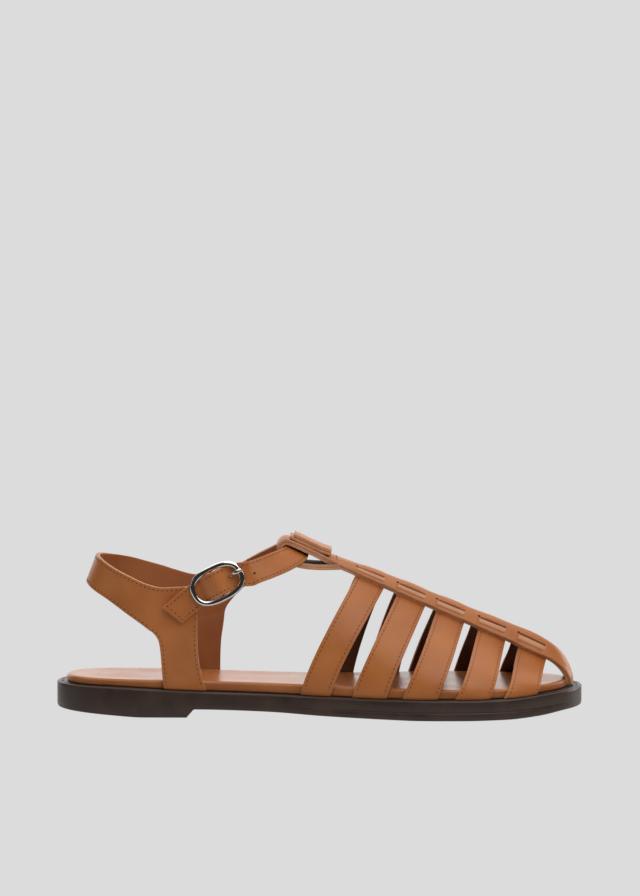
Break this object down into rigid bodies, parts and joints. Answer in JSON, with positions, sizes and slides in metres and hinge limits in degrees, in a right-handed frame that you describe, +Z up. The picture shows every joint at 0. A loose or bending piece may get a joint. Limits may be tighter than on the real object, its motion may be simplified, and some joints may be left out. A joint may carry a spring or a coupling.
{
  "type": "flat sandal",
  "caption": "right-foot flat leather sandal with a woven cage of straps over a closed toe, heel band and buckled ankle strap on a low-heeled sole",
  "frame": {"origin": "centre of the bounding box in plan, on the floor under the sole", "axes": "+X towards the toe, +Y towards the inner side of the foot, +Z up"},
  "size_m": [0.265, 0.092, 0.0909],
  "materials": {
    "strap_leather": "smooth tan leather, satin",
    "footbed_leather": "smooth tan leather, semi-gloss",
    "sole_brown": "dark brown, satin edge",
    "polished_metal": "polished"
  },
  "bodies": {
    "root": {"outsole": "sole_brown", "insole": "footbed_leather", "vamp_cage": "strap_leather", "quarter": "strap_leather", "instep_tab": "strap_leather", "buckle_frame": "polished_metal", "buckle_prong": "polished_metal", "buckle_chape": "strap_leather"}
  },
  "joints": []
}
